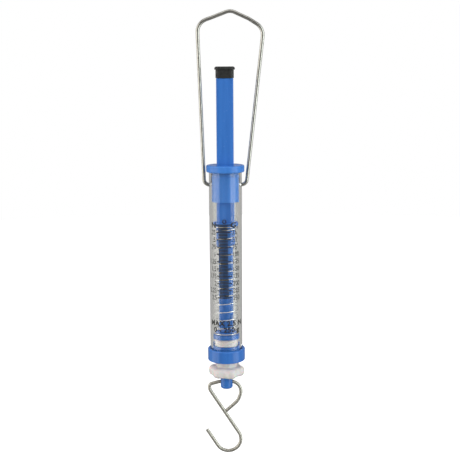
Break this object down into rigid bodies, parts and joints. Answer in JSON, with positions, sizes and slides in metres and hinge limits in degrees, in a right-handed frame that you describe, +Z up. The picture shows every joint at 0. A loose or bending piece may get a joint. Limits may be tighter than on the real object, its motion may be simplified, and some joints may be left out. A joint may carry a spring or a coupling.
{
  "type": "tubular spring scale",
  "caption": "Clear-tube spring scale hung by a wire bail: a plunger with a push pad above and a hook below works against a spring, with a thumb-screw zero.",
  "frame": {"origin": "inside of the bail's peak, where the scale hangs from a support", "axes": "+Z up, parallel to the tube; the bail's wire and the hook's wire lie in the XZ plane; the printed scale faces -Y. The tube's axis is 3.56 mm to -X of the origin because the bail is bent to one side."},
  "size_m": [0.0409, 0.0232, 0.2758],
  "materials": {
    "wire": "satin",
    "spring_wire": "satin",
    "clear_plastic": "clear",
    "blue_plastic": "gloss",
    "white_plastic": "satin",
    "rubber": "matte"
  },
  "bodies": {
    "hanger": {"bail": "wire"},
    "barrel": {"scale_tube": "clear_plastic", "top_cap": "blue_plastic", "bottom_collar": "blue_plastic"},
    "seat": {"spring_seat": "blue_plastic", "spring": "spring_wire"},
    "adjuster": {"adjuster_screw": "white_plastic"},
    "plunger": {"plunger_rod": "blue_plastic", "hook_stem": "blue_plastic", "push_pad": "rubber"},
    "load": {"hook": "wire"}
  },
  "joints": [
    {"name": "bail_pivot", "type": "hinge", "parent": "hanger", "child": "barrel", "pos_m": [-0.00356, 0, -0.1019], "axis": [1, 0, 0], "range_deg": [-173, 173]},
    {"name": "seat_lift", "type": "slide", "parent": "barrel", "child": "seat", "axis": [0, 0, 1], "range_m": [-0.003, 0.003]},
    {"name": "zero_adjust", "type": "hinge", "parent": "seat", "child": "adjuster", "pos_m": [-0.00356, 0, -0.2149], "axis": [0, 0, 1], "range_deg": [-720.5, 720.5]},
    {"name": "plunger_slide", "type": "slide", "parent": "seat", "child": "plunger", "axis": [0, 0, -1], "range_m": [0, 0.0485], "stiffness_N_per_m": 55, "springref_m": -0.0045, "deforming": ["spring"]},
    {"name": "hook_swing", "type": "hinge", "parent": "plunger", "child": "load", "pos_m": [-0.00356, 0, -0.2266], "axis": [1, 0, 0], "range_deg": [-90, 90]}
  ],
  "couplings": [
    {"joint": "zero_adjust", "follows": "seat_lift", "rad_per_m": 4188.8}
  ]
}
